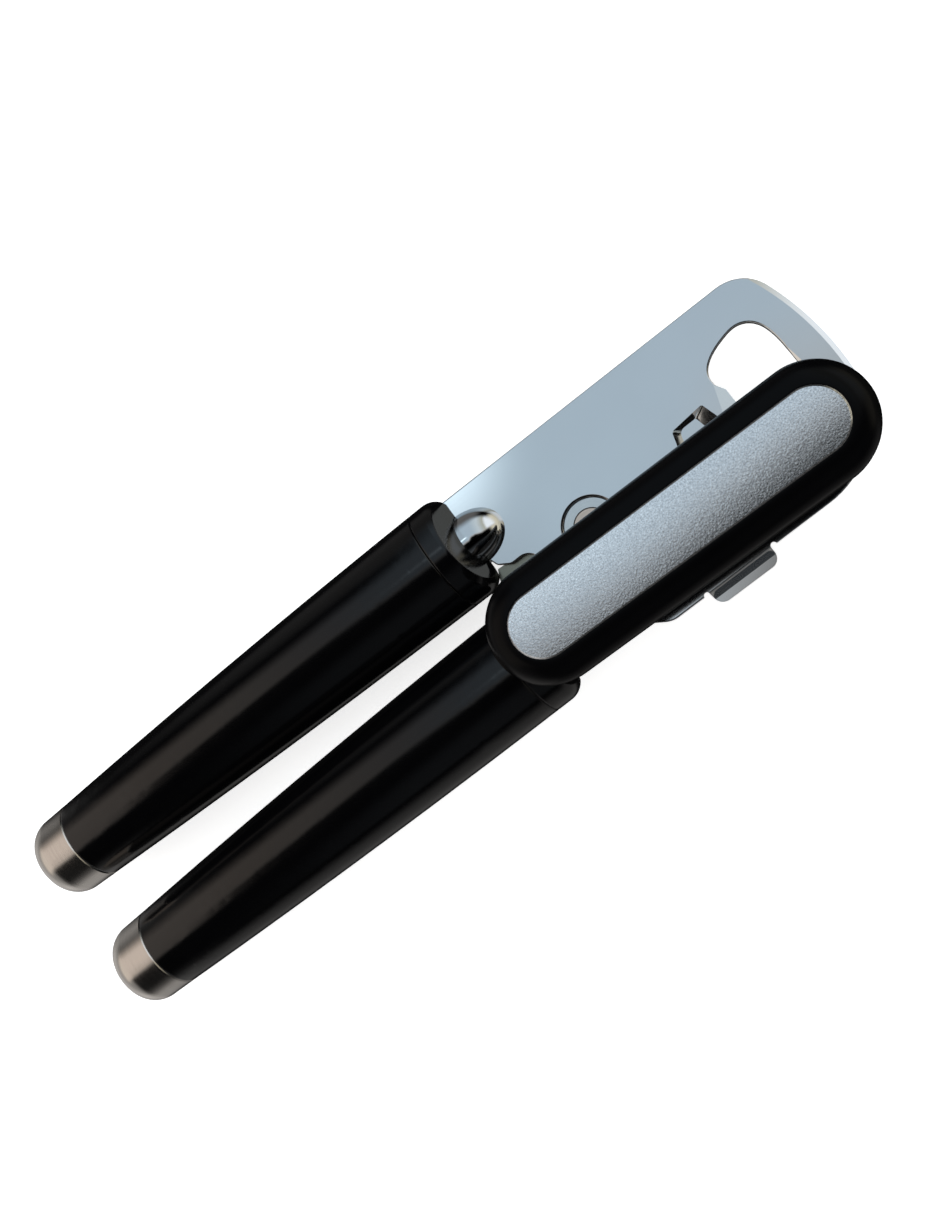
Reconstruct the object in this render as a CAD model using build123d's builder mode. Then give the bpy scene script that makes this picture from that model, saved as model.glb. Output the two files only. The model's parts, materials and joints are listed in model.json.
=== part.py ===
from build123d import *
import os
from math import atan2, cos, degrees, hypot, radians, sin, tan

# Manual can opener lying on its handles with the knob up, in millimetres.
# +X runs from the handle ends to the plate tip, +Y to the upper handle, +Z to the knob.
# Heights and places below are measured from the drive shaft's axis and the main plate's mid-plane.

# Overall sizes
overall_length = 211.8
plate_reach = 46.55           # drive shaft axis to the plate tip
collar_setback = 36.7         # drive shaft axis back to the collars' front ridges
handle_open = 45.0            # degrees between closed and fully open handles

# Handles: two alike, tapered and slightly splayed
cap_length = 12.8
collar_length = 8.1
grip_end_r = 9.95             # at the end cap
grip_mid_r = 11.45            # a short way under half its length
grip_front_r = 12.2           # at the collar
grip_mid_share = 0.44         # where along the grip the middle radius is
grip_swell = 0.21             # the leaning grip's outermost line, beyond its radius at the collar
upper_handle_y = 27.05        # handle axes at the collars' front ridges
lower_handle_y = -1.4
handle_splay = 0.63           # degrees each handle leans outwards
grip_bore_r = 7.9
collar_round = 4.5
collar_slope = 0.3            # front faces fall back this much per millimetre above and below the ridge
seam_edge = 0.25              # small bevel on both sides of a seam
cap_wall = 0.9
cap_taper = 0.2
cap_corner = 5.5
cap_dome_r = 20.0             # rounded end of the cap
plug_depth = 18.0             # how far the cap plug enters the grip
core_length = 76.0
fit_gap = 0.05                # radial play of a running or push fit
slot_gap = 0.1                # play round a plate in its slot

# Plates
plate_t = 1.8
plate_gap = 0.25              # between the two plates
neck_width = 16.5             # where a plate enters its collar
tang_width = 12.0
tang_length = 62.0            # behind the collar
tang_root = 0.5               # tang's outline carried on into the neck
pin_r = 1.6
pin_spacing = 28.0
plate_top = 37.35             # at the collar
top_fall = 1.8                # upper edge drops this much towards the tip
plate_bottom = -13.45
plate_edge = 0.3              # rounded front edge of the punched sheet
tip_r = 62.0                  # rounded tip
tip_mid_y = 10.7              # its foremost point
tip_top_corner = 9.0
tip_low_corner = 20.0
tip_bevel = 1.05
tip_bevel_depth = 0.4
notch_top = 17.15             # edge beside the collar, over the lower plate
notch_gap = 0.1               # start of the notch in front of the collar
notch_bend = (-35.9, 18.85)   # its steep part ends here
notch_end_x = -33.2
notch_step = 0.5              # cutter plate showing above the notch
shoulder_gap = 0.5            # cutter plate's shoulder in front of the collars
shoulder_rise = 1.3           # its top corner above the notch's edge
shoulder_reach = 1.3          # its ear's tip behind the collars' front ridges
shoulder_tip = 0.75           # and above the upper handle's lowest line
shoulder_height = 4.0         # from the ear's tip down to the straight part

# Bead pressed out of the main plate where it enters the collar
bead_y = 26.8
bead_r = 6.4
bead_nose_x = -28.55
bead_nose_length = 8.65

# Rim rest pressed backwards out of the main plate, over the rim of the can
rest_mouth = ((10.4, 17.95), (18.5, 18.6), (20.6, 11.2), (8.4, 11.2))
rest_mouth_rounds = (0.9, 0.6, 1.2, 1.2)
rest_floor = ((11.75, 17.4), (15.95, 17.4), (16.9, 12.6), (10.4, 12.6))
rest_floor_rounds = (1.6, 0.5, 0.8, 0.8)
rest_depth = 2.2

# Rim guide stepped backwards along the main plate's lower edge
guide_left = -3.9
guide_right = 11.7
guide_foot_y = -14.75         # its sloping part ends here
guide_low = -16.85
guide_depth = 3.4             # foot's front behind the plate's front
guide_bend_r = 0.8            # outside of the first bend
guide_fold_r = 0.4            # inside of the second bend
guide_corner = 2.3
guide_root = 0.4              # guide's outline carried on into the plate, past its bend
relief_r = 0.7

# Bottle opener window with its lip and a bevel opposite
window_low = 8.0
window_right = 38.8
window_curve = (
    (23.05, 21.2), (23.9, 23.5), (25.65, 25.0), (27.9, 26.05), (30.4, 26.75), (33.2, 27.1),
    (35.4, 26.45), (37.3, 24.6), (38.3, 22.0), (38.7, 19.0), (window_right, 16.0),
)
window_edge = 0.25            # rounded front edge
window_bevel_x = 39.45        # bevel's lower end
window_bevel_y = 12.9
window_bevel_turn = 7.0       # degrees it leans in
window_bevel_length = 8.2
window_bevel = 1.4
window_bevel_depth = 0.8
lip_x = 24.3
lip_high = 18.0
lip_corner = (23.1, 20.0)
lip_bend_x = 23.1             # bend line's upper end
lip_bend_y = 20.9
lip_bend_turn = 19.0          # degrees it leans back
lip_bend_length = 7.4
lip_reach = 6.0               # bevel's width, past the lip's edge
lip_drop = 1.3                # its depth there

# Pivot
pivot_x = -14.63
pivot_y = 12.82
pivot_seat_r = 6.1
pivot_seat_depth = 1.1
pivot_lip = 0.65
pivot_flange_r = 5.95
pivot_flange_t = 0.7
pivot_barrel_r = 4.95
pivot_rivet_r = 4.0
pivot_head_r = 5.4
pivot_head_t = 1.4
pivot_head_round = 0.85
pivot_washer_r = 6.6
pivot_washer_t = 0.5
plate_washer_r = 8.0
plate_washer_t = 0.2
ear_r = 8.6

# Cutter
axle_x = 0.4
axle_y = 14.6
arm_r = 6.2
cutter_r = 8.6
cutter_t = 1.6
cutter_edge_t = 0.1
cutter_flat_r = 5.6
cutter_hub_r = 4.5
axle_r = 2.6
axle_flare_r = 3.4
axle_head_r = 4.6
axle_head_t = 1.6
axle_slot = 1.0
cutter_washer_r = 5.2
cutter_washer_t = 0.4
axial_play = 0.1

# Drive shaft, feed wheel and knob
feed_r = 7.0
feed_root_r = 6.2
feed_t = 4.6
feed_teeth = 22
tooth_gap_run = 0.6           # gap's outline carried past the tips
feed_washer_r = 6.0
feed_washer_t = 0.8
feed_side_gap = 0.3           # feed wheel to cutter blade, along the axes
swing_gap = 0.35              # cutter plate to feed wheel while the handles open
nut_flats = 7.0
nut_t = 1.6
thread_r = 2.2
journal_r = 3.5
feed_square = 4.85
bush_r = 4.8
bush_flange_r = 7.2
bush_flange_t = 0.8
thrust_washer_r = 6.6
thrust_washer_t = 0.5
stem_r = 5.0
tenon_square = 6.4
tenon_length = 3.4
knob_spacing = 63.7           # between the centres of its two round ends
knob_r = 12.4
knob_angle = -1.15            # degrees, as photographed
knob_bottom = 13.15
knob_top = 24.8
knob_shoulder = 5.3
knob_heel = 2.6
base_inset = 2.6
base_t = 1.7
insert_r = 6.8
insert_t = 1.2
insert_rise = 0.4
insert_bevel = 0.35
screw_r = 1.55
screw_head_r = 3.6
screw_head_t = 2.2
screw_length = 9.0
screw_web = 1.6               # knob floor under the screw head
screw_cross = 1.0             # width of the cross recess
well_gap = 0.5

# Derived places
grip_length = overall_length - plate_reach - collar_setback - collar_length - cap_length
front = plate_t / 2
back = -plate_t / 2
rear_front = back - plate_gap
rear_mid = rear_front - plate_t / 2
rear_back = rear_front - plate_t
axis_height = grip_front_r - rear_mid
handle_run = grip_length + collar_length
handle_end_x = collar_setback + handle_run + cap_length
shaft_x = (handle_end_x - plate_reach) / 2
shaft_y = -(upper_handle_y + grip_front_r + grip_swell + guide_low) / 2
seam_x = -collar_setback - collar_length
neck_back_x = seam_x + seam_edge
cap_end_r = grip_end_r - cap_taper
cap_side_end = cap_dome_r - cap_length - (
    (cap_dome_r - cap_corner) ** 2 - (cap_end_r - cap_corner) ** 2
) ** 0.5
dome_share = cap_dome_r / (cap_dome_r - cap_corner)
dome_edge_x = cap_dome_r - cap_length + dome_share * (cap_side_end - cap_dome_r + cap_length)
dome_edge_r = dome_share * (cap_end_r - cap_corner)
pivot = (pivot_x, pivot_y)
axle = (axle_x, axle_y)
cutter_plate_bottom = lower_handle_y - neck_width / 2
cutter_plate_top = lower_handle_y + neck_width / 2
neck_low = plate_top - neck_width
shoulder_tip_y = upper_handle_y - grip_front_r + shoulder_tip
bead_root_x = bead_nose_x - bead_nose_length

tool = Plane((shaft_x, shaft_y, axis_height))


def handle_line(y, z, lean):
    """Plane on a handle's axis: origin at the end cap's seam, local X towards the plates."""
    turn = radians(lean)
    start = (-collar_setback - handle_run * cos(turn), y - handle_run * sin(turn), z)
    return Plane(tool.from_local_coords(start), x_dir=(cos(turn), sin(turn), 0), z_dir=(0, 0, 1))


def upright(x, y, z, x_dir, z_dir):
    """Plane at a place in the tool's own coordinates."""
    return Plane(tool.from_local_coords((x, y, z)), x_dir=x_dir, z_dir=z_dir)


upper_line = handle_line(upper_handle_y, 0, -handle_splay)
lower_line = handle_line(lower_handle_y, rear_mid, handle_splay)
bead_line = upright(0, bead_y, back, (1, 0, 0), (0, 0, 1))
shaft_arm = hypot(pivot_x, pivot_y)
shaft_turn = degrees(atan2(-pivot_y, -pivot_x))
shaft_path = CenterArc(pivot, shaft_arm, shaft_turn, -handle_open, mode=Mode.PRIVATE)
feed_front = back - axial_play / 2 - feed_washer_t - axial_play / 2
feed_back = feed_front - feed_t
blade_front = feed_back - feed_side_gap
blade_back = blade_front - cutter_t
thrust_bottom = front + bush_flange_t + axial_play / 2
stem_bottom = thrust_bottom + thrust_washer_t
stem_top = knob_bottom + base_t
tenon_top = stem_top + tenon_length
screw_seat = tenon_top + fit_gap + screw_web
insert_top = knob_top + insert_rise
insert_floor = insert_top - insert_t

os.makedirs("parts", exist_ok=True)

# Main plate: stamped steel with neck and tang for the upper handle
with BuildPart() as main_plate:
    with BuildSketch(tool.offset(back)) as outline:
        with BuildLine():
            FilletPolyline(
                (neck_back_x, neck_low),
                (notch_gap - collar_setback, neck_low),
                notch_bend,
                (notch_end_x, notch_top),
                (-28.9, notch_top),
                (-24.5, 8.0),
                (-20.5, -9.0),
                (-13.5, plate_bottom),
                (plate_reach, plate_bottom),
                (plate_reach, plate_top - top_fall),
                (neck_back_x, plate_top),
                radius=(0.5, 0.8, 1.2, 2.0, 3.2, 8.0, 6.0, 5.0, 0.5, 0.5, 0.5),
                close=True,
            )
        make_face()
        with Locations(Location((plate_reach - tip_r, tip_mid_y, 0), (0, 0, 180))):
            Circle(tip_r, mode=Mode.INTERSECT)
        fillet(outline.vertices().sort_by(Axis.X)[-2:].sort_by(Axis.Y)[-1], tip_top_corner)
        fillet(outline.vertices().sort_by(Axis.X)[-2:].sort_by(Axis.Y)[0], tip_low_corner)
    extrude(amount=plate_t)
    fillet(main_plate.edges().group_by(Axis.Z)[-1], plate_edge)
    # bevel along the tip
    tip_line = upright(plate_reach - tip_r, tip_mid_y, front, (1, 0, 0), (0, -1, 0))
    with BuildSketch(tip_line):
        with BuildLine():
            Polyline(
                (tip_r - tip_bevel, 0),
                (tip_r, -tip_bevel_depth),
                (tip_r + tip_bevel, -tip_bevel_depth),
                (tip_r + tip_bevel, 0),
                close=True,
            )
        make_face()
    revolve(axis=Axis(tip_line.origin, (0, 0, 1)), mode=Mode.SUBTRACT)
    with BuildSketch(upper_line.offset(back)):
        with Locations((grip_length - tang_length / 2, 0)):
            Rectangle(tang_length + 2 * tang_root, tang_width)
    extrude(amount=plate_t)
    # bead: half a bullet, hollow at the back
    with BuildSketch(bead_line):
        with BuildLine():
            Line((neck_back_x, 0), (neck_back_x, bead_r))
            Line((neck_back_x, bead_r), (bead_root_x, bead_r))
            EllipticalCenterArc((bead_root_x, 0), bead_nose_length, bead_r, arc_size=90)
            Line((bead_nose_x, 0), (neck_back_x, 0))
        make_face()
    revolve(axis=Axis(bead_line.origin, bead_line.x_dir), revolution_arc=180)
    with BuildSketch(bead_line):
        with BuildLine():
            Line((neck_back_x, 0), (neck_back_x, bead_r - plate_t))
            Line((neck_back_x, bead_r - plate_t), (bead_root_x, bead_r - plate_t))
            EllipticalCenterArc((bead_root_x, 0), bead_nose_length - plate_t, bead_r - plate_t, arc_size=90)
            Line((bead_nose_x - plate_t, 0), (neck_back_x, 0))
        make_face()
    revolve(axis=Axis(bead_line.origin, bead_line.x_dir), revolution_arc=180, mode=Mode.SUBTRACT)
    # rim rest: the sheet pushed back, as a boss behind and a hollow in front
    for level, mode in ((back, Mode.ADD), (front, Mode.SUBTRACT)):
        with BuildSketch(tool.offset(level)):
            with BuildLine():
                FilletPolyline(*rest_mouth, radius=rest_mouth_rounds, close=True)
            make_face()
        with BuildSketch(tool.offset(level - rest_depth)):
            with BuildLine():
                FilletPolyline(*rest_floor, radius=rest_floor_rounds, close=True)
            make_face()
        loft(mode=mode)
    # bottle opener window, its lip bevelled from the bend line, and the bevel opposite
    with BuildSketch(tool.offset(back)):
        with BuildLine():
            Spline(*window_curve)
            FilletPolyline(
                window_curve[-1],
                (window_right, window_low),
                (lip_x, window_low),
                (lip_x, lip_high),
                lip_corner,
                window_curve[0],
                radius=(5.0, 1.5, 0.8, 0.8),
            )
        make_face()
    extrude(amount=plate_t, mode=Mode.SUBTRACT)
    fillet(main_plate.edges(Select.LAST).group_by(Axis.Z)[-1], window_edge)
    lip_turn = radians(lip_bend_turn)
    lip_out = (cos(lip_turn), -sin(lip_turn), 0)
    lip_along = (-sin(lip_turn), -cos(lip_turn), 0)
    with BuildSketch(upright(lip_bend_x, lip_bend_y, front, lip_out, lip_along)):
        with BuildLine():
            Polyline((0, 0), (lip_reach, 0), (lip_reach, -lip_drop), close=True)
        make_face()
    extrude(amount=lip_bend_length, mode=Mode.SUBTRACT)
    bevel_turn = radians(window_bevel_turn)
    bevel_in = (-cos(bevel_turn), -sin(bevel_turn), 0)
    bevel_along = (-sin(bevel_turn), cos(bevel_turn), 0)
    with BuildSketch(upright(window_bevel_x, window_bevel_y, front, bevel_in, bevel_along)):
        with BuildLine():
            Polyline((0, 0), (window_bevel, 0), (window_bevel, -window_bevel_depth), close=True)
        make_face()
    extrude(amount=window_bevel_length, mode=Mode.SUBTRACT)
    # rim guide: the sheet stepped backwards, its foot with rounded corners
    guide_turn = atan2(guide_depth, plate_bottom - guide_foot_y)
    fold_shift = plate_t * tan(guide_turn / 2)
    guide_start = plate_bottom + fold_shift + guide_root
    with BuildSketch(upright(guide_left, 0, front, (0, 1, 0), (1, 0, 0))):
        with BuildLine():
            FilletPolyline(
                (guide_start, 0),
                (plate_bottom, 0),
                (guide_foot_y, -guide_depth),
                (guide_low, -guide_depth),
                radius=(guide_bend_r, guide_fold_r),
            )
            Line((guide_low, -guide_depth), (guide_low, -guide_depth - plate_t))
            FilletPolyline(
                (guide_low, -guide_depth - plate_t),
                (guide_foot_y + fold_shift, -guide_depth - plate_t),
                (plate_bottom + fold_shift, -plate_t),
                (guide_start, -plate_t),
                radius=(guide_fold_r + plate_t, guide_bend_r / 2),
            )
            Line((guide_start, -plate_t), (guide_start, 0))
        make_face()
    extrude(amount=guide_right - guide_left)
    fillet(main_plate.edges().filter_by(Axis.Z).group_by(Axis.Y)[0], guide_corner)
    with BuildSketch(tool.offset(back)):
        with Locations((guide_left - relief_r, plate_bottom), (guide_right + relief_r, plate_bottom)):
            Circle(relief_r)
    extrude(amount=plate_t, mode=Mode.SUBTRACT)
    # holes: drive bush, stepped pivot seat, tang pins
    with BuildSketch(tool.offset(back)):
        Circle(bush_r)
        with Locations(pivot):
            Circle(pivot_barrel_r + fit_gap)
    extrude(amount=plate_t, mode=Mode.SUBTRACT)
    with BuildSketch(tool.offset(front)):
        with Locations(pivot):
            Circle(pivot_seat_r)
    extrude(amount=-pivot_seat_depth, mode=Mode.SUBTRACT)
    seat_rim = main_plate.edges().filter_by(GeomType.CIRCLE).filter_by(
        lambda edge: abs(edge.radius - pivot_seat_r) < fit_gap / 2
    )
    fillet(seat_rim.sort_by(Axis.Z)[-1], pivot_lip)
    with BuildSketch(upper_line.offset(back)):
        with Locations((grip_length - tang_length / 2, 0)):
            with GridLocations(pin_spacing, 0, 2, 1):
                Circle(pin_r + fit_gap)
    extrude(amount=plate_t, mode=Mode.SUBTRACT)
main_plate.part.label = "main_plate"
export_step(main_plate.part, "parts/main_plate.step")

# Cutter plate: lies behind the main plate and carries the cutter above the feed wheel
with BuildPart() as cutter_plate:
    with BuildSketch(tool.offset(rear_back)):
        with BuildLine():
            FilletPolyline(
                (neck_back_x, cutter_plate_bottom),
                (pivot_x, cutter_plate_bottom),
                (pivot_x + ear_r, pivot_y),
                (pivot_x, pivot_y + ear_r),
                (-27.5, notch_top + notch_step),
                (-collar_setback, notch_top + shoulder_rise),
                (-collar_setback - shoulder_reach, shoulder_tip_y),
                (shoulder_gap - collar_setback, shoulder_tip_y - shoulder_height),
                (shoulder_gap - collar_setback, cutter_plate_top),
                (neck_back_x, cutter_plate_top),
                radius=(0.5, 2.0, 2.0, 2.0, 3.0, 0.4, 0.5, 1.0, 0.4, 0.5),
                close=True,
            )
        make_face()
    extrude(amount=plate_t)
    with BuildSketch(tool.offset(rear_back)):
        with Locations(pivot):
            Circle(ear_r)
        with Locations(axle):
            Circle(arm_r)
        make_hull()
    extrude(amount=plate_t)
    with BuildSketch(lower_line.offset(back)):
        with Locations((grip_length - tang_length / 2, 0)):
            Rectangle(tang_length + 2 * tang_root, tang_width)
    extrude(amount=plate_t)
    # room for the feed wheel while the handles open
    with BuildSketch(tool.offset(rear_back)):
        SlotArc(shaft_path, 2 * (feed_r + swing_gap))
    extrude(amount=plate_t, mode=Mode.SUBTRACT)
    with BuildSketch(tool.offset(rear_back)):
        with Locations(pivot):
            Circle(pivot_rivet_r + fit_gap)
        with Locations(axle):
            Circle(axle_r + fit_gap)
    extrude(amount=plate_t, mode=Mode.SUBTRACT)
    axle_mouth = cutter_plate.edges().filter_by(GeomType.CIRCLE).filter_by(
        lambda edge: abs(edge.radius - axle_r - fit_gap) < fit_gap / 2
    )
    chamfer(axle_mouth.sort_by(Axis.Z)[-1], axle_flare_r - axle_r)
    with BuildSketch(lower_line.offset(back)):
        with Locations((grip_length - tang_length / 2, 0)):
            with GridLocations(pin_spacing, 0, 2, 1):
                Circle(pin_r + fit_gap)
    extrude(amount=plate_t, mode=Mode.SUBTRACT)
cutter_plate.part.label = "cutter_plate"
export_step(cutter_plate.part, "parts/cutter_plate.step")

# Handle pieces, the same for both sides but for the collar's slot
for side, line, neck_y, neck_z in (
    ("upper", upper_line, neck_low + neck_width / 2, 0),
    ("lower", lower_line, lower_handle_y, rear_mid),
):
    along = Axis(line.origin, line.x_dir)

    with BuildPart() as grip:
        with BuildSketch(line):
            with BuildLine():
                Line((0, grip_bore_r), (0, grip_end_r - seam_edge))
                Line((0, grip_end_r - seam_edge), (seam_edge, grip_end_r))
                Spline(
                    (seam_edge, grip_end_r),
                    (grip_mid_share * grip_length, grip_mid_r),
                    (grip_length - seam_edge, grip_front_r),
                )
                Line((grip_length - seam_edge, grip_front_r), (grip_length, grip_front_r - seam_edge))
                Line((grip_length, grip_front_r - seam_edge), (grip_length, grip_bore_r))
                Line((grip_length, grip_bore_r), (0, grip_bore_r))
            make_face()
        revolve(axis=along)
    grip.part.label = f"{side}_grip"
    export_step(grip.part, f"parts/{side}_grip.step")

    with BuildPart() as core:
        with BuildSketch(line):
            with Locations((grip_length - core_length / 2, (grip_bore_r - fit_gap) / 2)):
                Rectangle(core_length, grip_bore_r - fit_gap)
        revolve(axis=along)
        with BuildSketch(line.offset(back - slot_gap)):
            with Locations((grip_length - tang_length / 2, 0)):
                Rectangle(tang_length + 2 * (tang_root + slot_gap), tang_width + 2 * slot_gap)
        extrude(amount=plate_t + 2 * slot_gap, mode=Mode.SUBTRACT)
        with BuildSketch(line):
            with Locations((grip_length - tang_length / 2, 0)):
                with GridLocations(pin_spacing, 0, 2, 1):
                    Circle(pin_r + fit_gap)
        extrude(amount=grip_bore_r, both=True, mode=Mode.SUBTRACT)
    core.part.label = f"{side}_core"
    export_step(core.part, f"parts/{side}_core.step")

    with BuildPart() as tang_pins:
        with BuildSketch(line):
            with Locations((grip_length - tang_length / 2, 0)):
                with GridLocations(pin_spacing, 0, 2, 1):
                    Circle(pin_r)
        extrude(amount=grip_bore_r - pin_r / 2, both=True)
    tang_pins.part.label = f"{side}_tang_pins"
    export_step(tang_pins.part, f"parts/{side}_tang_pins.step")

    with BuildPart() as collar:
        with BuildSketch(line):
            with BuildLine():
                Polyline(
                    (handle_run - collar_round, grip_front_r),
                    (grip_length + seam_edge, grip_front_r),
                    (grip_length, grip_front_r - seam_edge),
                    (grip_length, 0),
                    (handle_run, 0),
                    (handle_run, grip_front_r - collar_round),
                )
                RadiusArc(
                    (handle_run - collar_round, grip_front_r),
                    (handle_run, grip_front_r - collar_round),
                    collar_round,
                )
            make_face()
        revolve(axis=along)
        # front faces sloping back from the ridge
        slope_run = 2 * grip_front_r
        with BuildSketch(Plane(line.origin, x_dir=line.x_dir, z_dir=-line.y_dir)):
            for rise in (slope_run, -slope_run):
                with BuildLine():
                    Polyline(
                        (handle_run, 0), (handle_run, rise), (handle_run - collar_slope * slope_run, rise),
                        close=True,
                    )
                make_face()
        extrude(amount=slope_run, both=True, mode=Mode.SUBTRACT)
        with BuildSketch(tool.offset(neck_z + back - slot_gap)):
            with Locations((seam_x + collar_length / 2, neck_y)):
                Rectangle(2 * collar_length, neck_width + 2 * slot_gap)
        extrude(amount=plate_t + 2 * slot_gap, mode=Mode.SUBTRACT)
        if side == "upper":
            with BuildSketch(bead_line):
                with Locations((seam_x + collar_length / 2, (bead_r + slot_gap) / 2)):
                    Rectangle(2 * collar_length, bead_r + slot_gap)
            revolve(axis=Axis(bead_line.origin, bead_line.x_dir), revolution_arc=180, mode=Mode.SUBTRACT)
    collar.part.label = f"{side}_collar"
    export_step(collar.part, f"parts/{side}_collar.step")

    with BuildPart() as end_cap:
        with BuildSketch(line):
            with BuildLine():
                Line((0, 0), (0, grip_end_r - seam_edge))
                Line((0, grip_end_r - seam_edge), (-seam_edge, grip_end_r))
                Line((-seam_edge, grip_end_r), (cap_side_end, cap_end_r))
                RadiusArc((cap_side_end, cap_end_r), (dome_edge_x, dome_edge_r), -cap_corner)
                RadiusArc((dome_edge_x, dome_edge_r), (-cap_length, 0), -cap_dome_r)
                Line((-cap_length, 0), (0, 0))
            make_face()
        revolve(axis=along)
        with BuildSketch(line):
            with Locations((-(cap_length - cap_corner) / 2, (cap_end_r - cap_wall) / 2)):
                Rectangle(cap_length - cap_corner, cap_end_r - cap_wall)
        revolve(axis=along, mode=Mode.SUBTRACT)
    end_cap.part.label = f"{side}_end_cap"
    export_step(end_cap.part, f"parts/{side}_end_cap.step")

    with BuildPart() as cap_plug:
        with BuildSketch(line):
            with Locations((-(cap_length - cap_corner) / 2, (cap_end_r - cap_wall - fit_gap) / 2)):
                Rectangle(cap_length - cap_corner, cap_end_r - cap_wall - fit_gap)
            with Locations((plug_depth / 2, (grip_bore_r - fit_gap) / 2)):
                Rectangle(plug_depth, grip_bore_r - fit_gap)
        revolve(axis=along)
    cap_plug.part.label = f"{side}_cap_plug"
    export_step(cap_plug.part, f"parts/{side}_cap_plug.step")

# Pivot: flanged bush in the main plate's seat, clamped to the cutter plate by a rivet
with BuildPart() as pivot_bush:
    with BuildSketch(tool.offset(rear_front)):
        with Locations(pivot):
            Circle(pivot_barrel_r)
    extrude(amount=front - pivot_seat_depth - rear_front + fit_gap)
    with BuildSketch(tool.offset(front - pivot_seat_depth + fit_gap)):
        with Locations(pivot):
            Circle(pivot_flange_r)
    extrude(amount=pivot_flange_t)
    with BuildSketch(tool.offset(rear_front)):
        with Locations(pivot):
            Circle(pivot_rivet_r + fit_gap)
    extrude(amount=plate_t + plate_gap, mode=Mode.SUBTRACT)
pivot_bush.part.label = "pivot_bush"
export_step(pivot_bush.part, "parts/pivot_bush.step")

rivet_seat = rear_back - pivot_washer_t
with BuildPart() as pivot_rivet:
    with BuildSketch(tool.offset(rivet_seat)):
        with Locations(pivot):
            Circle(pivot_rivet_r)
    extrude(amount=front - pivot_seat_depth + fit_gap + pivot_flange_t - rivet_seat)
    with BuildSketch(tool.offset(rivet_seat - pivot_head_t)):
        with Locations(pivot):
            Circle(pivot_head_r)
    extrude(amount=pivot_head_t)
    fillet(pivot_rivet.edges().group_by(Axis.Z)[0], pivot_head_round)
pivot_rivet.part.label = "pivot_rivet"
export_step(pivot_rivet.part, "parts/pivot_rivet.step")

with BuildPart() as pivot_washer:
    with BuildSketch(tool.offset(rivet_seat)):
        with Locations(pivot):
            Circle(pivot_washer_r)
            Circle(pivot_rivet_r + fit_gap, mode=Mode.SUBTRACT)
    extrude(amount=pivot_washer_t)
pivot_washer.part.label = "pivot_washer"
export_step(pivot_washer.part, "parts/pivot_washer.step")

with BuildPart() as plate_washer:
    with BuildSketch(tool.offset(rear_front)):
        with Locations(pivot):
            Circle(plate_washer_r)
            Circle(pivot_barrel_r + fit_gap, mode=Mode.SUBTRACT)
    extrude(amount=plate_washer_t)
plate_washer.part.label = "plate_washer"
export_step(plate_washer.part, "parts/plate_washer.step")

# Cutter: free wheel on an axle riveted flush into the cutter plate
with BuildPart() as cutter_axle:
    with BuildSketch(tool.offset(blade_back - axial_play)):
        with Locations(axle):
            Circle(axle_r)
    extrude(amount=rear_front - blade_back + axial_play)
    chamfer_seat = axle_flare_r - axle_r
    with BuildSketch(tool.offset(rear_front)):
        with Locations(axle):
            Circle(axle_flare_r)
    with BuildSketch(tool.offset(rear_front - chamfer_seat)):
        with Locations(axle):
            Circle(axle_r)
    loft()
    with BuildSketch(tool.offset(blade_back - axial_play - axle_head_t)):
        with Locations(axle):
            Circle(axle_head_r)
    extrude(amount=axle_head_t)
    fillet(cutter_axle.edges().group_by(Axis.Z)[0], axle_head_t / 3)
    with BuildSketch(tool.offset(blade_back - axial_play - axle_head_t)):
        with Locations(axle):
            Rectangle(axle_slot, 2 * axle_head_r)
    extrude(amount=axle_head_t / 2, mode=Mode.SUBTRACT)
cutter_axle.part.label = "cutter_axle"
export_step(cutter_axle.part, "parts/cutter_axle.step")

with BuildPart() as cutter_washer:
    with BuildSketch(tool.offset(rear_back - cutter_washer_t)):
        with Locations(axle):
            Circle(cutter_washer_r)
            Circle(axle_r + fit_gap, mode=Mode.SUBTRACT)
    extrude(amount=cutter_washer_t)
cutter_washer.part.label = "cutter_washer"
export_step(cutter_washer.part, "parts/cutter_washer.step")

cutter_face = rear_back - cutter_washer_t - axial_play
with BuildPart() as cutter_wheel:
    with BuildSketch(upright(axle_x, axle_y, 0, (1, 0, 0), (0, -1, 0))):
        with BuildLine():
            Polyline(
                (axle_r + fit_gap, cutter_face),
                (cutter_hub_r, cutter_face),
                (cutter_hub_r, blade_front),
                (cutter_r, blade_front),
                (cutter_r, blade_front - cutter_edge_t),
                (cutter_flat_r, blade_back),
                (axle_r + fit_gap, blade_back),
                close=True,
            )
        make_face()
    revolve(axis=Axis(tool.from_local_coords((axle_x, axle_y, 0)), (0, 0, 1)))
cutter_wheel.part.label = "cutter_wheel"
export_step(cutter_wheel.part, "parts/cutter_wheel.step")

# Drive: bush in the main plate, shaft, feed wheel, washers and nut
with BuildPart() as shaft_bush:
    with BuildSketch(tool.offset(back)):
        Circle(bush_r)
    extrude(amount=plate_t)
    with BuildSketch(tool.offset(front)):
        Circle(bush_flange_r)
    extrude(amount=bush_flange_t)
    with BuildSketch(tool.offset(back)):
        Circle(journal_r + fit_gap)
    extrude(amount=plate_t + bush_flange_t, mode=Mode.SUBTRACT)
    fillet(shaft_bush.edges().group_by(Axis.Z)[-1].sort_by(SortBy.LENGTH)[-1], bush_flange_t / 2)
shaft_bush.part.label = "shaft_bush"
export_step(shaft_bush.part, "parts/shaft_bush.step")

with BuildPart() as thrust_washer:
    with BuildSketch(tool.offset(thrust_bottom)):
        Circle(thrust_washer_r)
        Circle(journal_r + fit_gap, mode=Mode.SUBTRACT)
    extrude(amount=thrust_washer_t)
thrust_washer.part.label = "thrust_washer"
export_step(thrust_washer.part, "parts/thrust_washer.step")

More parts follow.
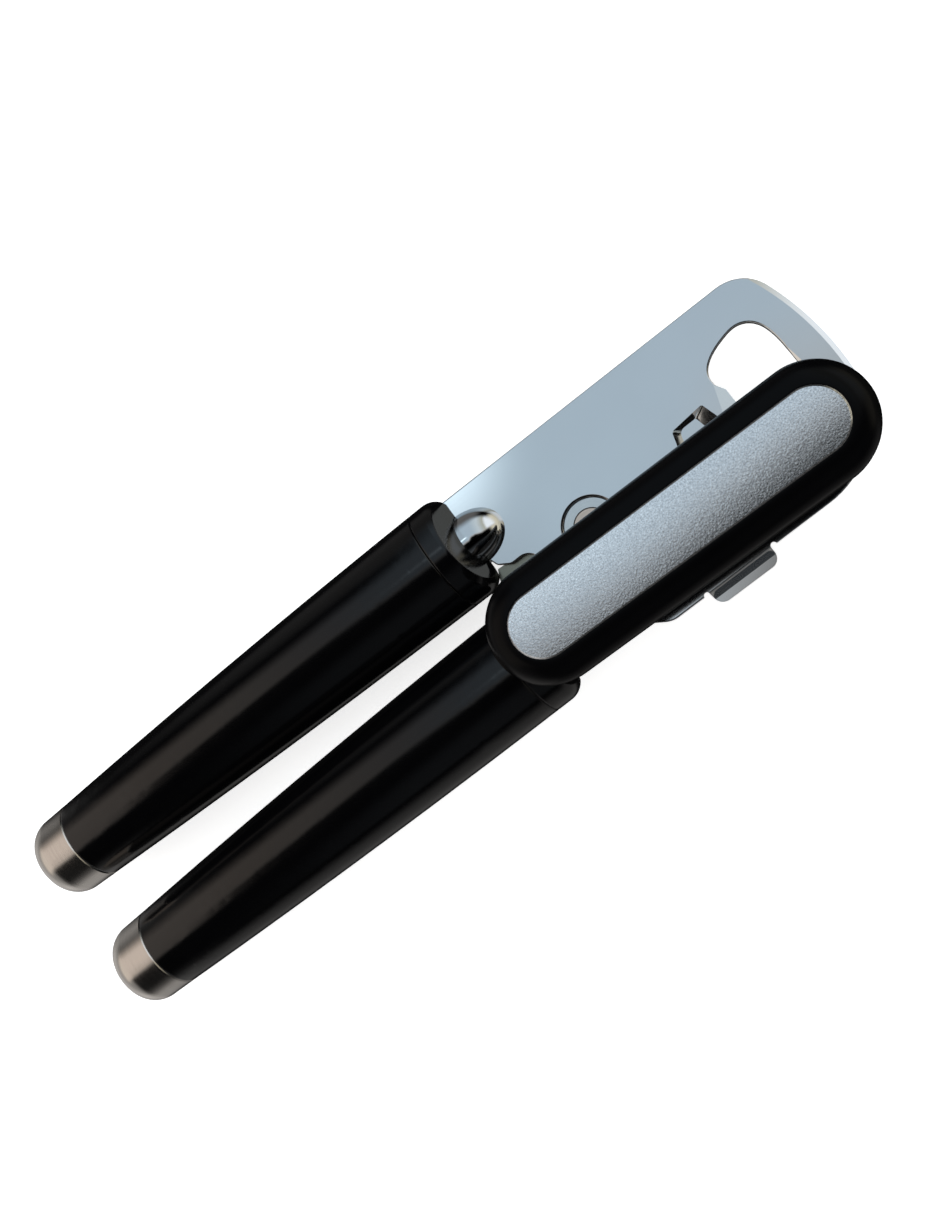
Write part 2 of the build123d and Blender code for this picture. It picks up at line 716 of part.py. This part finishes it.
with BuildPart() as drive_shaft:
    with BuildSketch(tool.offset(feed_back - nut_t)):
        Circle(thread_r)
    extrude(amount=nut_t)
    with BuildSketch(tool.offset(feed_back)):
        Rectangle(feed_square, feed_square)
    extrude(amount=feed_t)
    with BuildSketch(tool.offset(feed_front)):
        Circle(journal_r)
    extrude(amount=stem_bottom - feed_front)
    with BuildSketch(tool.offset(stem_bottom)):
        Circle(stem_r)
    extrude(amount=stem_top - stem_bottom)
    with BuildSketch(tool.offset(stem_top)):
        Rectangle(tenon_square, tenon_square, rotation=knob_angle)
    extrude(amount=tenon_length)
    with BuildSketch(tool.offset(tenon_top)):
        Circle(screw_r + fit_gap)
    extrude(amount=-(screw_length - screw_web), mode=Mode.SUBTRACT)
drive_shaft.part.label = "drive_shaft"
export_step(drive_shaft.part, "parts/drive_shaft.step")

with BuildPart() as feed_wheel:
    with BuildSketch(tool.offset(feed_back)):
        Circle(feed_r)
        Rectangle(feed_square + 2 * fit_gap, feed_square + 2 * fit_gap, mode=Mode.SUBTRACT)
        with PolarLocations(feed_r, feed_teeth):
            Polygon(
                (feed_root_r - feed_r, 0),
                (tooth_gap_run, feed_r - feed_root_r),
                (tooth_gap_run, feed_root_r - feed_r),
                align=None, mode=Mode.SUBTRACT,
            )
    extrude(amount=feed_t)
feed_wheel.part.label = "feed_wheel"
export_step(feed_wheel.part, "parts/feed_wheel.step")

with BuildPart() as feed_washer:
    with BuildSketch(tool.offset(feed_front + axial_play / 2)):
        Circle(feed_washer_r)
        Circle(journal_r + fit_gap, mode=Mode.SUBTRACT)
    extrude(amount=feed_washer_t)
feed_washer.part.label = "feed_washer"
export_step(feed_washer.part, "parts/feed_washer.step")

with BuildPart() as feed_nut:
    with BuildSketch(tool.offset(feed_back - nut_t)):
        RegularPolygon(nut_flats / 2, 6, major_radius=False)
        Circle(thread_r + fit_gap, mode=Mode.SUBTRACT)
    extrude(amount=nut_t)
feed_nut.part.label = "feed_nut"
export_step(feed_nut.part, "parts/feed_nut.step")

# Knob: pill-shaped body with a base plate below and a metal insert on top
with BuildPart() as knob_body:
    with BuildSketch(tool.offset(knob_bottom)):
        SlotCenterToCenter(knob_spacing, 2 * knob_r, rotation=knob_angle)
    extrude(amount=knob_top - knob_bottom)
    fillet(knob_body.edges().group_by(Axis.Z)[-1], knob_shoulder)
    fillet(knob_body.edges().group_by(Axis.Z)[0], knob_heel)
    with BuildSketch(tool.offset(knob_bottom)):
        SlotCenterToCenter(knob_spacing, 2 * (knob_r - base_inset), rotation=knob_angle)
    extrude(amount=base_t, mode=Mode.SUBTRACT)
    with BuildSketch(tool.offset(knob_top)):
        SlotCenterToCenter(knob_spacing, 2 * (insert_r + fit_gap), rotation=knob_angle)
    extrude(amount=insert_floor - knob_top, mode=Mode.SUBTRACT)
    with BuildSketch(tool.offset(stem_top)):
        Rectangle(tenon_square + 2 * fit_gap, tenon_square + 2 * fit_gap, rotation=knob_angle)
    extrude(amount=tenon_length + fit_gap, mode=Mode.SUBTRACT)
    with BuildSketch(tool.offset(stem_top)):
        Circle(screw_r + fit_gap)
    extrude(amount=insert_floor - stem_top, mode=Mode.SUBTRACT)
    with BuildSketch(tool.offset(screw_seat)):
        Circle(screw_head_r + well_gap)
    extrude(amount=insert_floor - screw_seat, mode=Mode.SUBTRACT)
knob_body.part.label = "knob_body"
export_step(knob_body.part, "parts/knob_body.step")

with BuildPart() as knob_base:
    with BuildSketch(tool.offset(knob_bottom)):
        SlotCenterToCenter(knob_spacing, 2 * (knob_r - base_inset - fit_gap), rotation=knob_angle)
        Circle(stem_r + fit_gap, mode=Mode.SUBTRACT)
    extrude(amount=base_t)
knob_base.part.label = "knob_base"
export_step(knob_base.part, "parts/knob_base.step")

with BuildPart() as knob_insert:
    with BuildSketch(tool.offset(insert_floor)):
        SlotCenterToCenter(knob_spacing, 2 * insert_r, rotation=knob_angle)
    extrude(amount=insert_t)
    chamfer(knob_insert.edges().group_by(Axis.Z)[-1], insert_bevel)
knob_insert.part.label = "knob_insert"
export_step(knob_insert.part, "parts/knob_insert.step")

with BuildPart() as knob_screw:
    with BuildSketch(tool.offset(screw_seat - screw_length)):
        Circle(screw_r)
    extrude(amount=screw_length)
    with BuildSketch(tool.offset(screw_seat)):
        Circle(screw_head_r)
    extrude(amount=screw_head_t)
    fillet(knob_screw.edges().group_by(Axis.Z)[-1], screw_head_t / 3)
    with BuildSketch(tool.offset(screw_seat + screw_head_t)):
        Rectangle(screw_cross, 2 * screw_r)
        Rectangle(2 * screw_r, screw_cross)
    extrude(amount=-screw_head_t / 2, mode=Mode.SUBTRACT)
knob_screw.part.label = "knob_screw"
export_step(knob_screw.part, "parts/knob_screw.step")
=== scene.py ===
import json

import bpy
from mathutils import Matrix, Vector

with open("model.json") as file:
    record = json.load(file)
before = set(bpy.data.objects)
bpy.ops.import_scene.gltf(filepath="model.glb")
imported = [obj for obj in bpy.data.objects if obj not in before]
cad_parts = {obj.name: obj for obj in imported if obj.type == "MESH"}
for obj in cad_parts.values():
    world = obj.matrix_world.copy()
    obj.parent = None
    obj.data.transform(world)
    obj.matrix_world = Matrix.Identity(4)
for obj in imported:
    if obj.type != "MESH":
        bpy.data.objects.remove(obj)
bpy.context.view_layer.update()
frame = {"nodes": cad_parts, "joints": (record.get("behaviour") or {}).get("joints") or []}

MM = 0.001

# The axes that turned and ground faces are centred on, in the frame's metres
AXES = {joint["name"]: joint["pos_m"] for joint in frame["joints"]}
PIVOT = AXES["handle_pivot"]
SHAFT = AXES["knob_turn"]
AXLE = AXES["cutter_spin"]

# Radius of the rivet's end, in millimetres
RIVET_RADIUS = 4.0

# Fall of the insert's crown, per metre of width squared
CROWN = -5.0


def linear(code):
    """sRGB hex colour as linear RGBA."""
    parts = [int(code[i:i + 2], 16) / 255 for i in (0, 2, 4)]
    return [p / 12.92 if p <= 0.04045 else ((p + 0.055) / 1.055) ** 2.4 for p in parts] + [1.0]


def per_mm(size):
    """Texture scale for a pattern of that size in millimetres."""
    return 1 / (size * MM)


def add(tree, kind, inputs=None, stops=(), **settings):
    """One shader node: inputs are its values or the sockets linked into it, stops the places and colours
    of its colour ramp, settings its other properties."""
    made = tree.nodes.new("ShaderNode" + kind)
    for name, value in settings.items():
        setattr(made, name, value)
    for name, value in (inputs or {}).items():
        if isinstance(value, bpy.types.NodeSocket):
            tree.links.new(value, made.inputs[name])
        else:
            made.inputs[name].default_value = value
    for stop in stops[2:]:
        made.color_ramp.elements.new(stop[0])
    for number, (position, colour) in enumerate(stops):
        made.color_ramp.elements[number].position = position
        made.color_ramp.elements[number].color = colour
    return made


def start(name):
    """New material: returns it, its node tree and its object coordinates."""
    made = bpy.data.materials.new(name)
    made.use_nodes = True
    tree = made.node_tree
    tree.nodes.clear()
    return made, tree, add(tree, "TexCoord").outputs["Object"]


def close(made, inputs):
    """Give a material its shader, with these inputs, and return it."""
    shader = add(made.node_tree, "BsdfPrincipled", inputs)
    add(made.node_tree, "OutputMaterial", {"Surface": shader.outputs["BSDF"]})
    return made


def plated_sheet(name, dark, light, haze_low, haze_high):
    """Plated, stamped sheet steel: a mirror with a breath of polishing haze, and satin cut edges."""
    made, tree, place = start(name)
    cloud = add(tree, "TexNoise", {"Vector": place, "Scale": per_mm(24), "Detail": 3.0})
    tone = add(tree, "ValToRGB", {"Fac": cloud.outputs["Fac"]}, ((0.0, linear(dark)), (1.0, linear(light))))
    # polishing lines run along the plate; drawn 0.25 mm apart, coarser than life so that they show
    stretch = (per_mm(25), per_mm(0.25), per_mm(0.25))
    drawn = add(tree, "Mapping", {"Vector": place, "Scale": stretch})
    lines = add(tree, "TexNoise", {"Vector": drawn.outputs["Vector"], "Scale": 1.0, "Detail": 4.0})
    haze = add(tree, "MapRange", {"Value": lines.outputs["Fac"], "To Min": haze_low, "To Max": haze_high})
    # faces that stand up from the sheet are cut edges
    facing = add(tree, "SeparateXYZ", {"Vector": place.node.outputs["Normal"]})
    flat = add(tree, "Math", {0: facing.outputs["Z"]}, operation="ABSOLUTE")
    cut = add(tree, "MapRange", {"Value": flat.outputs["Value"], "From Min": 0.1, "From Max": 0.5,
                                 "To Min": 0.3, "To Max": 0.0})
    rough = add(tree, "Math", {0: haze.outputs["Result"], 1: cut.outputs["Result"]}, operation="MAXIMUM")
    ripple = add(tree, "TexNoise", {"Vector": place, "Scale": per_mm(9), "Detail": 1.0})
    bump = add(tree, "Bump", {"Height": ripple.outputs["Fac"], "Strength": 0.05, "Distance": 0.05 * MM})
    return close(made, {"Base Color": tone.outputs["Color"], "Roughness": rough.outputs["Value"],
                        "Normal": bump.outputs["Normal"], "Metallic": 1.0})


def black_gloss(name, gloss, rough_low, rough_high, grain):
    """Black ABS from a polished mould: deep black, soft highlight, faint flow and handling marks."""
    made, tree, place = start(name)
    flow = add(tree, "TexNoise", {"Vector": place, "Scale": per_mm(14), "Detail": 4.0})
    tone = add(tree, "ValToRGB", {"Fac": flow.outputs["Fac"]},
               ((0.0, linear("030304")), (1.0, linear("070708"))))
    wipe = add(tree, "TexNoise", {"Vector": place, "Scale": per_mm(5), "Detail": 6.0, "Roughness": 0.65})
    rough = add(tree, "MapRange", {"Value": wipe.outputs["Fac"], "To Min": rough_low, "To Max": rough_high})
    skin = add(tree, "TexNoise", {"Vector": place, "Scale": per_mm(grain), "Detail": 2.0})
    edges = add(tree, "Bevel", {"Radius": 0.35 * MM}, samples=6)
    bump = add(tree, "Bump", {"Height": skin.outputs["Fac"], "Strength": 0.05, "Distance": 0.02 * MM,
                              "Normal": edges.outputs["Normal"]})
    return close(made, {"Base Color": tone.outputs["Color"], "Roughness": rough.outputs["Result"],
                        "Normal": bump.outputs["Normal"], "IOR": 1.5, "Specular IOR Level": gloss})


def satin_caps():
    """Deep-drawn stainless caps, brushed on a lathe: soft lengthwise bands of light over fine rings."""
    made, tree, place = start("stainless_cap_brushed_round")
    # brush lines run round the cap; drawn 0.12 mm apart, coarser than life so that they show
    stretch = (per_mm(0.12), per_mm(11.1), per_mm(11.1))
    ring = add(tree, "Mapping", {"Vector": place, "Scale": stretch})
    lines = add(tree, "TexNoise", {"Vector": ring.outputs["Vector"], "Scale": 1.0, "Detail": 5.0})
    tone = add(tree, "ValToRGB", {"Fac": lines.outputs["Fac"]},
               ((0.0, linear("b3aea9")), (1.0, linear("cbc8c4"))))
    rough = add(tree, "MapRange", {"Value": lines.outputs["Fac"], "To Min": 0.15, "To Max": 0.24})
    bump = add(tree, "Bump", {"Height": lines.outputs["Fac"], "Strength": 0.12, "Distance": 0.03 * MM})
    return close(made, {"Base Color": tone.outputs["Color"], "Roughness": rough.outputs["Result"],
                        "Normal": bump.outputs["Normal"], "Metallic": 1.0})


def cast_insert():
    """Die-cast zinc insert, satin chromed over etched grain: crowned silver with fine sparkling flecks."""
    made, tree, place = start("zinc_insert_etched_satin")
    # a crown of an eighth of a millimetre across the width, as a slope of the shading
    across = add(tree, "SeparateXYZ", {"Vector": place})
    across = add(tree, "Math", {0: across.outputs["Y"], 1: SHAFT[1]}, operation="SUBTRACT")
    square = add(tree, "Math", {0: across.outputs["Value"], 1: 2.0}, operation="POWER")
    fall = add(tree, "Math", {0: square.outputs["Value"], 1: CROWN}, operation="MULTIPLY")
    crown = add(tree, "Bump", {"Height": fall.outputs["Value"], "Strength": 1.0, "Distance": 1.0})
    # etched grain and pits, drawn as coarse as they need to show
    grain = add(tree, "TexNoise", {"Vector": place, "Scale": per_mm(0.32), "Detail": 4.0, "Roughness": 0.6})
    pits = add(tree, "TexVoronoi", {"Vector": place, "Scale": per_mm(0.4)}, feature="SMOOTH_F1")
    height = add(tree, "Math", {0: grain.outputs["Fac"], 1: pits.outputs["Distance"]}, operation="ADD")
    tone = add(tree, "ValToRGB", {"Fac": grain.outputs["Fac"]},
               ((0.25, linear("b6b7ba")), (0.7, linear("ffffff"))))
    rough = add(tree, "MapRange", {"Value": grain.outputs["Fac"], "To Min": 0.16, "To Max": 0.28})
    bump = add(tree, "Bump", {"Height": height.outputs["Value"], "Strength": 0.3, "Distance": 0.05 * MM,
                              "Normal": crown.outputs["Normal"]})
    return close(made, {"Base Color": tone.outputs["Color"], "Roughness": rough.outputs["Result"],
                        "Normal": bump.outputs["Normal"], "Metallic": 1.0})


def turned_metal(name, centre, dark, light, rough_low, rough_high, spacing, rim=None):
    """Metal turned or ground about an axis: fine rings round that axis in tone, gloss and height, drawn
    coarser than life so that they show. A rim is the radius of an end that lies flush in a plate."""
    made, tree, place = start(name)
    local = add(tree, "Mapping", {"Vector": place, "Location": [-c for c in centre]})
    parts = add(tree, "SeparateXYZ", {"Vector": local.outputs["Vector"]})
    across = add(tree, "CombineXYZ", {"X": parts.outputs["X"], "Y": parts.outputs["Y"]})
    radius = add(tree, "VectorMath", {0: across.outputs["Vector"]}, operation="LENGTH")
    level = add(tree, "Math", {0: parts.outputs["Z"], 1: radius.outputs["Value"]}, operation="ADD")
    rings = add(tree, "TexNoise", {"W": level.outputs["Value"], "Scale": per_mm(spacing), "Detail": 3.0},
                noise_dimensions="1D")
    cloud = add(tree, "TexNoise", {"Vector": place, "Scale": per_mm(3), "Detail": 4.0})
    blend = add(tree, "Math", {0: rings.outputs["Fac"], 1: cloud.outputs["Fac"]}, operation="MULTIPLY")
    tone = add(tree, "ValToRGB", {"Fac": blend.outputs["Value"]},
               ((0.0, linear(dark)), (0.5, linear(light))))
    if rim:
        # painted shade in the gap round the flush end, none at the other end
        seam = add(tree, "MapRange", {"Value": radius.outputs["Value"], "From Min": (rim - 0.3) * MM,
                                      "From Max": (rim - 0.1) * MM})
        flush = add(tree, "Math", {0: parts.outputs["Z"], 1: -1.0 * MM}, operation="GREATER_THAN")
        painted_joint_shade = add(tree, "Math", {0: seam.outputs["Result"], 1: flush.outputs["Value"]},
                    operation="MULTIPLY")
        tone = add(tree, "MixRGB", {"Fac": painted_joint_shade.outputs["Value"], "Color1": tone.outputs["Color"],
                                    "Color2": linear("1a1816")})
    rough = add(tree, "MapRange", {"Value": blend.outputs["Value"], "From Max": 0.5,
                                   "To Min": rough_low, "To Max": rough_high})
    bump = add(tree, "Bump", {"Height": rings.outputs["Fac"], "Strength": 0.15, "Distance": 0.02 * MM})
    return close(made, {"Base Color": tone.outputs["Color"], "Roughness": rough.outputs["Result"],
                        "Normal": bump.outputs["Normal"], "Metallic": 1.0})


def moulded(name, dark, light, rough_low, rough_high, grain, depth):
    """Plain moulded plastic with a fine mould texture."""
    made, tree, place = start(name)
    cloud = add(tree, "TexNoise", {"Vector": place, "Scale": per_mm(6), "Detail": 4.0})
    tone = add(tree, "ValToRGB", {"Fac": cloud.outputs["Fac"]}, ((0.0, linear(dark)), (1.0, linear(light))))
    rough = add(tree, "MapRange", {"Value": cloud.outputs["Fac"], "To Min": rough_low, "To Max": rough_high})
    skin = add(tree, "TexNoise", {"Vector": place, "Scale": per_mm(grain), "Detail": 2.0})
    bump = add(tree, "Bump", {"Height": skin.outputs["Fac"], "Strength": 0.3, "Distance": depth * MM})
    return close(made, {"Base Color": tone.outputs["Color"], "Roughness": rough.outputs["Result"],
                        "Normal": bump.outputs["Normal"], "IOR": 1.5})


chrome = plated_sheet("chrome_plated_sheet_polished", "cccecf", "d6d8d9", 0.06, 0.11)
# the cutter plate is satin, and its dark olive tone is painted shade, standing in for the main plate and
# knob over it
satin_plate_painted_shade = plated_sheet("chrome_plated_sheet_satin_painted_shade", "7b7a6e", "908e82", 0.2, 0.3)
grip_black = black_gloss("black_abs_gloss_moulded", 0.45, 0.1, 0.17, 0.6)
knob_black = black_gloss("black_abs_satin_moulded", 0.07, 0.2, 0.3, 0.35)
cap_steel = satin_caps()
insert_zinc = cast_insert()
nylon = moulded("nylon_grey_moulded", "8a8a86", "9a9a95", 0.4, 0.55, 0.5, 0.03)
acetal = moulded("acetal_natural_moulded", "d8d4ca", "e6e3da", 0.3, 0.42, 0.4, 0.02)
base_black = moulded("black_abs_spark_textured", "0c0c0c", "141414", 0.5, 0.62, 0.25, 0.05)
pivot_nickel = turned_metal("nickel_plated_turned_pivot", PIVOT, "c4c4c2", "d4d4d2", 0.08, 0.16, 0.22)
rivet_brass = turned_metal("brass_rivet_nickel_worn", PIVOT, "e0cfc0", "f4e6da", 0.3, 0.45, 0.3,
                           rim=RIVET_RADIUS)
shaft_nickel = turned_metal("nickel_plated_turned_shaft", SHAFT, "b3b0aa", "d2d0ca", 0.14, 0.28, 0.22)
axle_nickel = turned_metal("nickel_plated_turned_axle", AXLE, "b3b0aa", "d2d0ca", 0.14, 0.28, 0.22)
feed_steel = turned_metal("tool_steel_milled_feed", SHAFT, "8e8f92", "b4b5b8", 0.25, 0.4, 0.3)
cutter_steel = turned_metal("tool_steel_ground_cutter", AXLE, "a0a1a4", "c8c9cb", 0.14, 0.3, 0.15)
bronze = turned_metal("bronze_sintered_bush", SHAFT, "9a7748", "bd9a66", 0.3, 0.45, 0.4)

FINISH = {
    "main_plate": chrome, "cutter_plate": satin_plate_painted_shade,
    "pivot_bush": pivot_nickel, "pivot_rivet": rivet_brass, "pivot_washer": pivot_nickel,
    "plate_washer": acetal, "cutter_washer": acetal, "thrust_washer": acetal,
    "cutter_axle": axle_nickel, "cutter_wheel": cutter_steel,
    "shaft_bush": bronze, "drive_shaft": shaft_nickel, "feed_wheel": feed_steel,
    "feed_washer": shaft_nickel, "feed_nut": shaft_nickel, "knob_screw": shaft_nickel,
    "knob_body": knob_black, "knob_base": base_black, "knob_insert": insert_zinc,
}
for side in ("upper", "lower"):
    FINISH[side + "_grip"] = FINISH[side + "_collar"] = grip_black
    FINISH[side + "_core"] = FINISH[side + "_cap_plug"] = nylon
    FINISH[side + "_tang_pins"] = shaft_nickel
    FINISH[side + "_end_cap"] = cap_steel
for name, finish in FINISH.items():
    for slot in frame["nodes"][name].material_slots:
        slot.material = finish

# Pale paper floor, kept out of the reflections
bpy.ops.mesh.primitive_plane_add(size=6.0, location=(0, 0, 0))
floor = bpy.context.object
floor.name = "floor"
paper, tree, place = start("floor_pale_paper")
fibre = add(tree, "TexNoise", {"Vector": place, "Scale": per_mm(40), "Detail": 3.0})
tone = add(tree, "ValToRGB", {"Fac": fibre.outputs["Fac"]},
           ((0.0, linear("f4f4f4")), (1.0, linear("fafafa"))))
close(paper, {"Base Color": tone.outputs["Color"], "Emission Color": tone.outputs["Color"],
              "Emission Strength": 0.8, "Roughness": 0.9})
floor.data.materials.append(paper)
floor.visible_glossy = False

# Even light from above for the floor, kept out of the reflections
sun = bpy.data.objects.new("overhead_fill", bpy.data.lights.new("overhead_fill", "SUN"))
sun.data.energy = 1.15
sun.data.angle = 2.6
sun.visible_glossy = False
bpy.context.scene.collection.objects.link(sun)

# Reflected surroundings, by the direction that a surface mirrors. The overhead softbox runs along X: warm
# over the caps, bluish over the plates, its near edge slanted. A small lamp stands by the upper collar, a
# warm window past the plate's tip; the walls in front and behind and the floor are dim.

# Softbox: place along X, how far its near edge lies towards +Y there, and its colour
SOFTBOX = (
    (-0.80, -0.20, (0.85, 0.76, 0.67)),
    (-0.545, -0.22, (0.85, 0.74, 0.66)),
    (-0.525, 0.04, (0.72, 0.61, 0.53)),
    (-0.42, 0.09, (0.62, 0.56, 0.51)),
    (-0.33, 0.12, (0.42, 0.40, 0.40)),
    (-0.26, -0.02, (0.34, 0.40, 0.46)),
    (-0.12, -0.05, (0.46, 0.57, 0.66)),
    (0.06, 0.07, (0.46, 0.56, 0.65)),
    (0.20, 0.03, (0.47, 0.57, 0.65)),
    (0.45, -0.12, (0.62, 0.70, 0.75)),
    (0.66, -0.12, (0.48, 0.48, 0.41)),
    (0.74, -0.12, (1.00, 1.05, 1.10)),
)
SOFTBOX_STRENGTH = 1.2
# added to the edge, so that the ramp's alpha can hold it
EDGE_SHIFT = 0.5
# half the width of the near edge's fade, and the width of the warm strip along it
EDGE_FADE = 0.08
WARM_STRIP = 0.12
WARM_SHARE = 0.75
WARM_COLOUR = (0.56, 0.52, 0.48, 1.0)
# where the far edge fades out along +Y
FAR_START = 0.52
FAR_END = 0.84

LAMP_HEADING = (-0.17, 0.245, 0.955)
LAMP_RADIUS = 0.08
LAMP_STRENGTH = 1.6

# Fades by direction: axis, where the fade starts and ends, and its value before and after
FADES = {
    "high": ("Z", 0.05, 0.42, 0.0, 1.0),
    "far_shift": ("X", -0.22, -0.18, 0.0, 0.25),
    "low": ("Z", -0.35, 0.1, 1.0, 0.0),
    "front": ("Y", -0.55, -0.3, 0.28, 0.01),
    "back": ("Y", 0.82, 0.96, 0.0, 0.16),
    "past_caps": ("X", -0.56, -0.53, 1.0, 0.0),
    "side_wall": ("Y", 0.55, 0.8, 0.0, 0.17),
    "bright_floor": ("Z", -0.3, 0.35, 0.34, 0.0),
    "tail": ("X", -0.9, -0.6, 0.4, 0.0),
    "front_wall": ("Y", -0.8, -0.4, 0.1, 0.0),
    "upright": ("Z", 0.1, 0.25, 0.0, 1.0),
    "short_of_caps": ("X", -0.54, -0.3, 0.0, 1.0),
    "past_tip": ("X", 0.72, 0.9, 0.0, 1.0),
    "sill": ("Z", -0.15, 0.0, 0.08, 0.95),
}

# The room round the softbox: fades that are multiplied, and the colour that they light
ROOM = (
    (("front", "low"), "f4f1ee"),
    (("back",), "f4f1ee"),
    (("past_caps", "side_wall"), "f4f1ee"),
    (("past_caps", "bright_floor"), "f4f1ee"),
    (("tail",), "f4f1ee"),
    (("front_wall", "upright", "short_of_caps"), "e8f0f8"),
    (("past_tip", "sill"), "f6eed6"),
)

world = bpy.data.worlds.new("studio")
world.use_nodes = True
bpy.context.scene.world = world
tree = world.node_tree
tree.nodes.clear()
heading = add(tree, "TexCoord").outputs["Generated"]
aim = add(tree, "SeparateXYZ", {"Vector": heading})
fades = {}
for name, (axis, begin, end, before, after) in FADES.items():
    fade = add(tree, "MapRange", {"Value": aim.outputs[axis], "From Min": begin, "From Max": end,
                                  "To Min": before, "To Max": after}, interpolation_type="SMOOTHSTEP")
    fades[name] = fade.outputs["Result"]

# softbox: its colour and near edge by X, warmer along that edge
along = add(tree, "MapRange", {"Value": aim.outputs["X"], "From Min": -1.0, "From Max": 1.0})
panel = add(tree, "ValToRGB", {"Fac": along.outputs["Result"]},
            [((x + 1) / 2, (*colour, EDGE_SHIFT + edge)) for x, edge, colour in SOFTBOX])
inside = add(tree, "Math", {0: aim.outputs["Y"], 1: panel.outputs["Alpha"]}, operation="SUBTRACT")
near = add(tree, "MapRange", {"Value": inside.outputs["Value"], "From Min": -EDGE_SHIFT - EDGE_FADE,
                              "From Max": -EDGE_SHIFT + EDGE_FADE}, interpolation_type="SMOOTHSTEP")
warmth = add(tree, "MapRange", {"Value": inside.outputs["Value"], "From Min": -EDGE_SHIFT,
                                "From Max": -EDGE_SHIFT + WARM_STRIP, "To Min": WARM_SHARE, "To Max": 0.0})
tint = add(tree, "MixRGB", {"Fac": warmth.outputs["Result"], "Color1": panel.outputs["Color"],
                            "Color2": WARM_COLOUR})
# its far edge lies further out over the bead and the plates
past = add(tree, "Math", {0: aim.outputs["Y"], 1: fades["far_shift"]}, operation="SUBTRACT")
far = add(tree, "MapRange", {"Value": past.outputs["Value"], "From Min": FAR_START, "From Max": FAR_END,
                             "To Min": 1.0, "To Max": 0.0}, interpolation_type="SMOOTHSTEP")
mask = add(tree, "Math", {0: near.outputs["Result"], 1: far.outputs["Result"]}, operation="MULTIPLY")
mask = add(tree, "Math", {0: mask.outputs["Value"], 1: fades["high"]}, operation="MULTIPLY")
softbox = add(tree, "Background", {"Color": tint.outputs["Color"], "Strength": SOFTBOX_STRENGTH})

# lamp, within the softbox
off_lamp = add(tree, "VectorMath", {0: heading, 1: LAMP_HEADING}, operation="DISTANCE")
lamp = add(tree, "MapRange", {"Value": off_lamp.outputs["Value"], "From Min": 0.0, "From Max": LAMP_RADIUS,
                              "To Min": LAMP_STRENGTH, "To Max": 0.0}, interpolation_type="SMOOTHSTEP")
lamp = add(tree, "Background", {"Color": linear("e4f6ff"), "Strength": lamp.outputs["Result"]})
overhead = add(tree, "AddShader", {0: softbox.outputs["Background"], 1: lamp.outputs["Background"]})

# room
room = None
for names, code in ROOM:
    strength = fades[names[0]]
    for name in names[1:]:
        strength = add(tree, "Math", {0: strength, 1: fades[name]}, operation="MULTIPLY").outputs["Value"]
    glow = add(tree, "Background", {"Color": linear(code), "Strength": strength}).outputs["Background"]
    room = glow if room is None else add(tree, "AddShader", {0: room, 1: glow}).outputs["Shader"]
lit = add(tree, "MixShader", {0: mask.outputs["Value"], 1: room, 2: overhead.outputs["Shader"]})

# the camera itself sees white
pale = add(tree, "Background", {"Color": linear("ffffff"), "Strength": 1.0})
path = add(tree, "LightPath")
shown = add(tree, "MixShader", {0: path.outputs["Is Camera Ray"], 1: lit.outputs["Shader"],
                                2: pale.outputs["Background"]})
add(tree, "OutputWorld", {"Surface": shown.outputs["Shader"]})

# Camera at the photograph's angle, from the fitted view; image right, down and forward in the frame
eye = Vector((70.758, -34.292, 285.319)) * MM
right = Vector((0.76719, -0.59164, -0.24777))
down = Vector((-0.60715, -0.79441, 0.01697))
forward = Vector((-0.20687, 0.13741, -0.96867))
camera = bpy.data.objects.new("camera", bpy.data.cameras.new("camera"))
camera.data.lens = 38.135
camera.data.sensor_width = 36.0
camera.data.clip_start = 0.01
turn = Matrix((right, -down, -forward)).transposed().to_4x4()
camera.matrix_world = Matrix.Translation(eye) @ turn
bpy.context.scene.collection.objects.link(camera)
bpy.context.scene.camera = camera
bpy.context.scene.view_settings.view_transform = "Standard"
